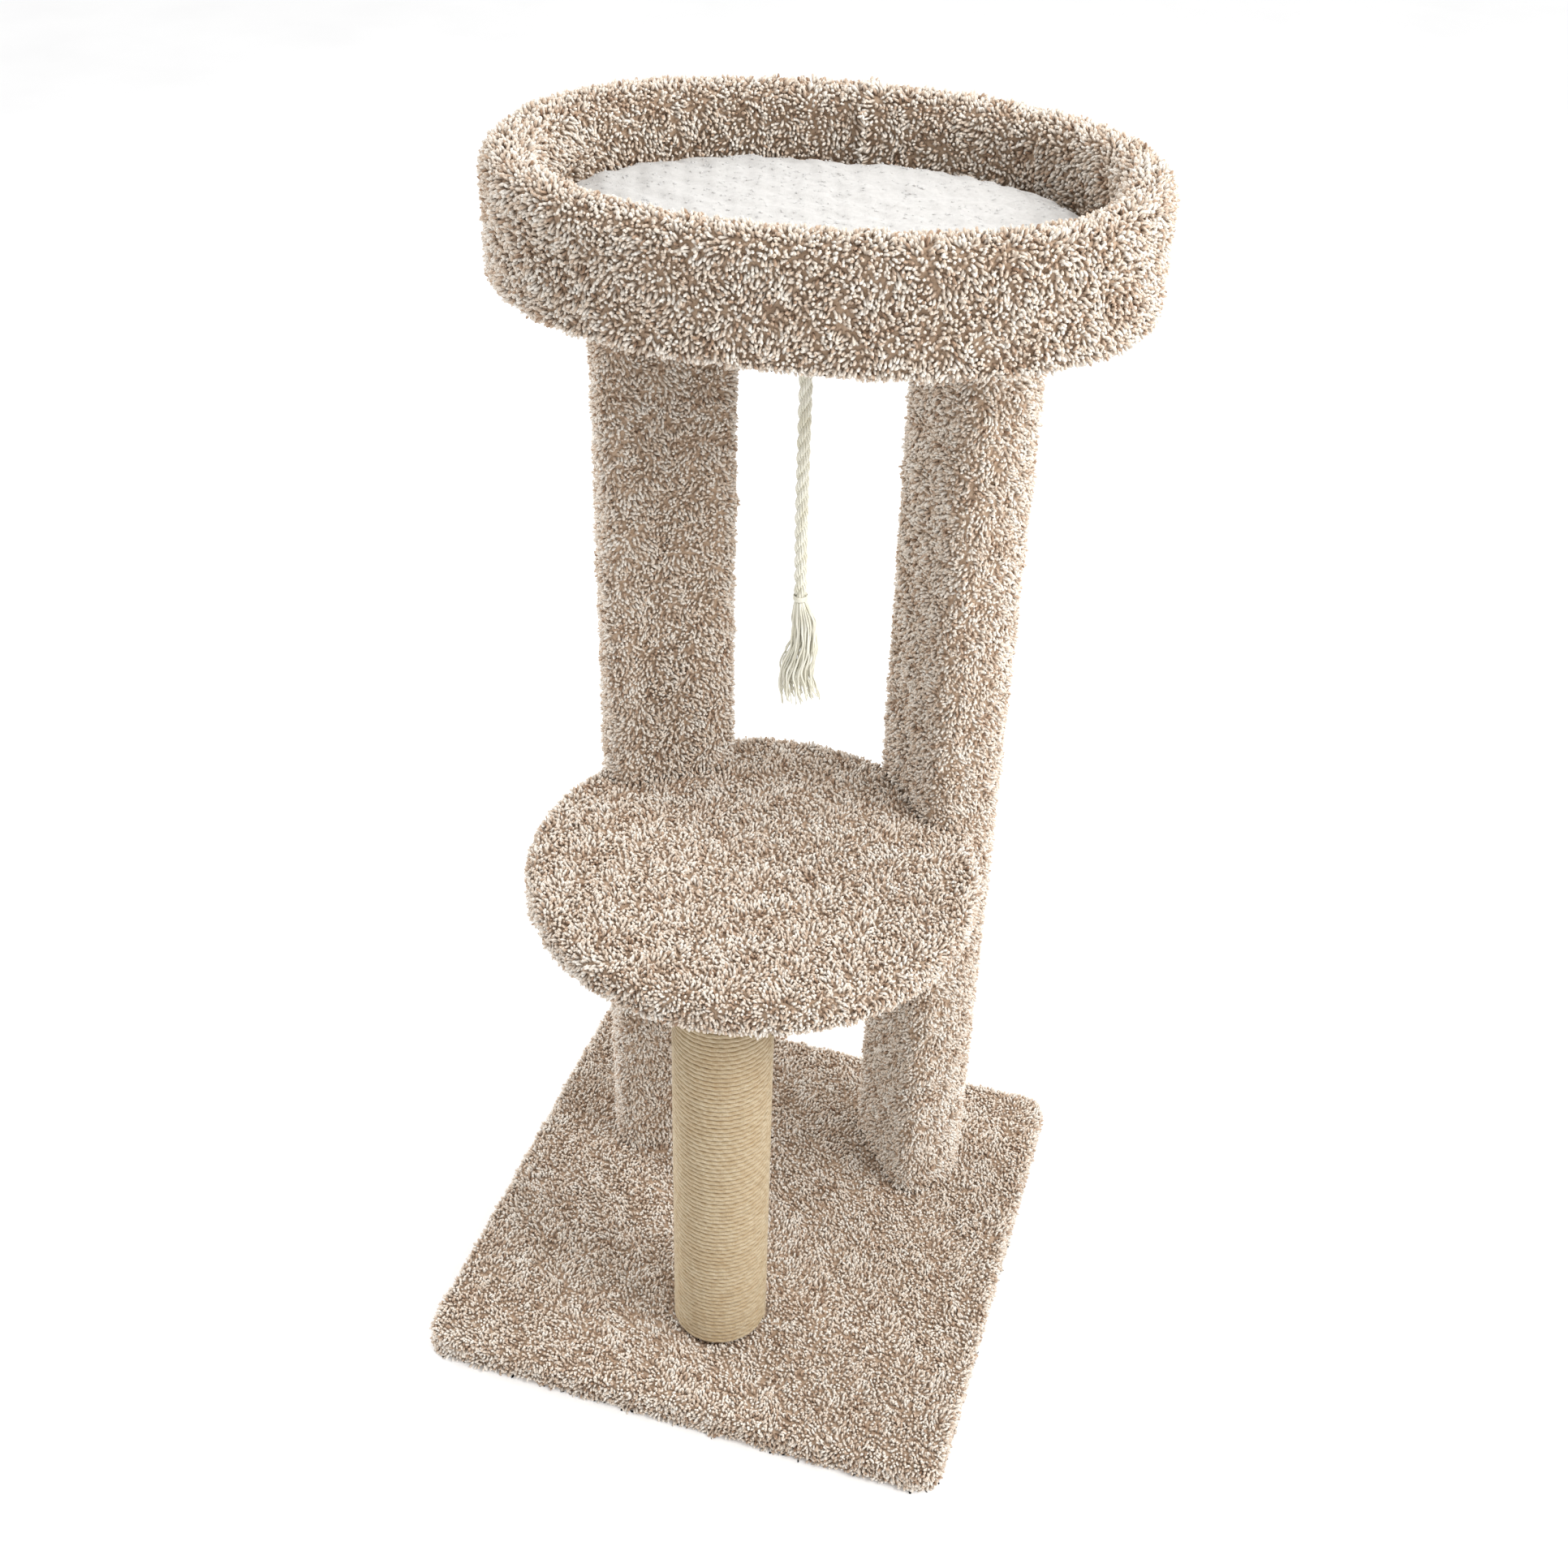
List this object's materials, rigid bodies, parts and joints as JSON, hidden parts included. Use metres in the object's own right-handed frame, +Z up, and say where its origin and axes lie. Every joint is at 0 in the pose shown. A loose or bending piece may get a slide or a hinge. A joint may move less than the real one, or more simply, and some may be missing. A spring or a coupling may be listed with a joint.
{
  "type": "cat tree",
  "caption": "Free-standing carpeted cat tree: square base, rope-wound scratching post, round shelf, tall posts with a raised oval bed and pad, and a hanging rope toy.",
  "frame": {"origin": "middle of the base's underside, on the floor", "axes": "+Z up; -Y to the front, where the scratching post stands; +X to the right seen from the front"},
  "size_m": [0.5262, 0.5, 1.1244],
  "materials": {
    "carpet": "plush twist-pile carpet, cream and beige with brown flecks",
    "fleece": "white sherpa fleece",
    "sisal": "pale laid natural-fibre rope",
    "cotton": "natural cotton rope",
    "timber": "sawn softwood",
    "board": "plywood",
    "tube_board": "spiral-wound tube",
    "steel": "zinc-plated",
    "zinc": "bright zinc-plated wire"
  },
  "bodies": {
    "frame": {"base_board": "board", "base_carpet": "carpet", "base_screws": "steel", "base_staples": "steel", "bed_floor_board": "board", "bed_lining": "carpet", "bed_screws": "steel", "bed_staples": "steel", "bed_wall_band": "board", "bed_wall_carpet": "carpet", "left_post_carpet": "carpet", "left_post_core": "timber", "right_post_carpet": "carpet", "right_post_core": "timber", "scratching_post_lower_plug": "timber", "scratching_post_upper_plug": "timber", "scratching_post_tube": "tube_board", "scratching_post_rope": "sisal", "shelf_board": "board", "shelf_carpet": "carpet", "shelf_lining": "carpet", "shelf_screws": "steel", "shelf_side_screws": "steel", "toy_screw_eye": "zinc"},
    "pad": {"bed_pad": "fleece"},
    "toy_link": {"toy_ring": "zinc"},
    "toy": {"toy_loop": "cotton", "toy_whipping": "cotton", "toy_rope": "cotton", "toy_binding": "cotton", "toy_tassel": "cotton"}
  },
  "joints": [
    {"name": "pad_lift", "type": "slide", "parent": "frame", "child": "pad", "axis": [0, 0, 1], "range_m": [0, 0.15]},
    {"name": "toy_sway", "type": "hinge", "parent": "frame", "child": "toy_link", "pos_m": [0.0225, 0.002, 1.0105], "axis": [0, 1, 0], "range_deg": [-5, 11]},
    {"name": "toy_swing", "type": "hinge", "parent": "toy_link", "child": "toy", "pos_m": [0.0225, 0.002, 0.9961], "axis": [1, 0, 0], "range_deg": [-45, 45]}
  ]
}
